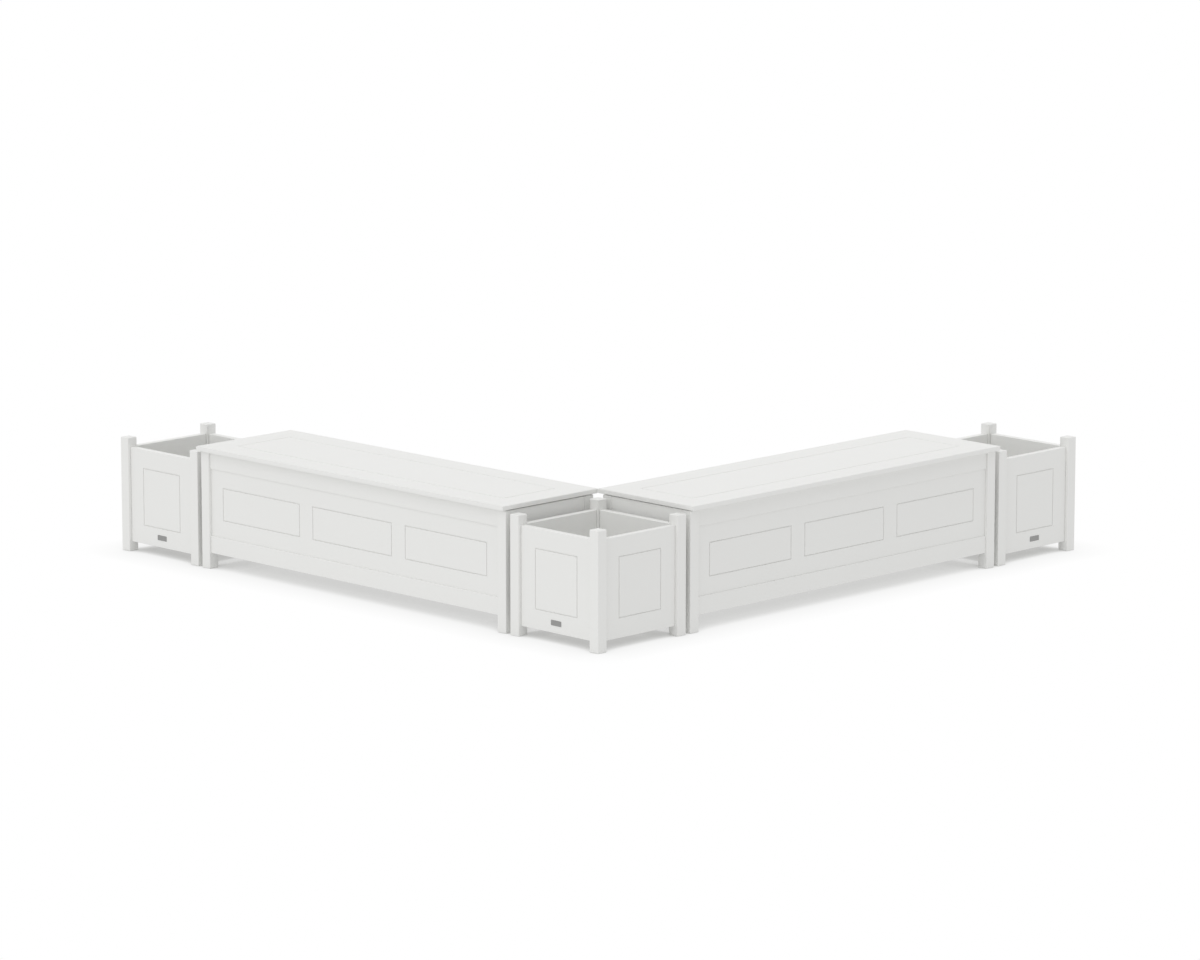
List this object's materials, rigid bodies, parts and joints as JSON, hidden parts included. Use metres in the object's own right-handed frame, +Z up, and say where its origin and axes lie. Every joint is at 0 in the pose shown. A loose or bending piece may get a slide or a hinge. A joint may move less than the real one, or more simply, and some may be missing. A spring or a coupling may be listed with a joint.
{
  "type": "bench with planter",
  "caption": "White corner seating set: long panelled box benches with lift-up hinged lids meeting at a square planter, with a matching square planter at each far end",
  "frame": {"origin": "centre of the bounding box, on the floor", "axes": "+Z up. Both benches' panelled fronts face outward, the left bench's to -Y and the right bench's to +X; the corner planter stands at +X, -Y"},
  "size_m": [2.623, 2.623, 0.472],
  "materials": {
    "painted_timber": "satin white exterior paint, opaque, over planed boards",
    "hinge_steel": "plain rolled stainless steel, satin"
  },
  "bodies": {
    "set": {"corner_planter_front_panel": "painted_timber", "corner_planter_right_panel": "painted_timber", "corner_planter_back_panel": "painted_timber", "corner_planter_left_panel": "painted_timber", "corner_planter_front_left_post": "painted_timber", "corner_planter_front_right_post": "painted_timber", "corner_planter_back_right_post": "painted_timber", "corner_planter_back_left_post": "painted_timber", "corner_planter_base": "painted_timber", "left_planter_front_panel": "painted_timber", "left_planter_right_panel": "painted_timber", "left_planter_back_panel": "painted_timber", "left_planter_left_panel": "painted_timber", "left_planter_front_left_post": "painted_timber", "left_planter_front_right_post": "painted_timber", "left_planter_back_right_post": "painted_timber", "left_planter_back_left_post": "painted_timber", "left_planter_base": "painted_timber", "right_planter_front_panel": "painted_timber", "right_planter_right_panel": "painted_timber", "right_planter_back_panel": "painted_timber", "right_planter_left_panel": "painted_timber", "right_planter_front_left_post": "painted_timber", "right_planter_front_right_post": "painted_timber", "right_planter_back_right_post": "painted_timber", "right_planter_back_left_post": "painted_timber", "right_planter_base": "painted_timber", "left_bench_front_top_rail": "painted_timber", "left_bench_front_panel": "painted_timber", "left_bench_front_bottom_rail": "painted_timber", "left_bench_back_top_rail": "painted_timber", "left_bench_back_panel": "painted_timber", "left_bench_back_bottom_rail": "painted_timber", "left_bench_front_left_leg": "painted_timber", "left_bench_front_right_leg": "painted_timber", "left_bench_back_right_leg": "painted_timber", "left_bench_back_left_leg": "painted_timber", "left_bench_left_end_frame": "painted_timber", "left_bench_right_end_frame": "painted_timber", "left_bench_floor": "painted_timber", "left_bench_hinge_rail_leaf": "hinge_steel", "right_bench_front_top_rail": "painted_timber", "right_bench_front_panel": "painted_timber", "right_bench_front_bottom_rail": "painted_timber", "right_bench_back_top_rail": "painted_timber", "right_bench_back_panel": "painted_timber", "right_bench_back_bottom_rail": "painted_timber", "right_bench_front_left_leg": "painted_timber", "right_bench_front_right_leg": "painted_timber", "right_bench_back_right_leg": "painted_timber", "right_bench_back_left_leg": "painted_timber", "right_bench_left_end_frame": "painted_timber", "right_bench_right_end_frame": "painted_timber", "right_bench_floor": "painted_timber", "right_bench_hinge_rail_leaf": "hinge_steel"},
    "left_lid": {"left_bench_lid": "painted_timber", "left_bench_hinge_lid_leaf": "hinge_steel"},
    "right_lid": {"right_bench_lid": "painted_timber", "right_bench_hinge_lid_leaf": "hinge_steel"}
  },
  "joints": [
    {"name": "left_lid_hinge", "type": "hinge", "parent": "set", "child": "left_lid", "pos_m": [-0.0095, -0.8493, 0.4507], "axis": [-1, 0, 0], "range_deg": [0, 90]},
    {"name": "right_lid_hinge", "type": "hinge", "parent": "set", "child": "right_lid", "pos_m": [0.8493, 0.0095, 0.4507], "axis": [0, -1, 0], "range_deg": [0, 90]}
  ]
}
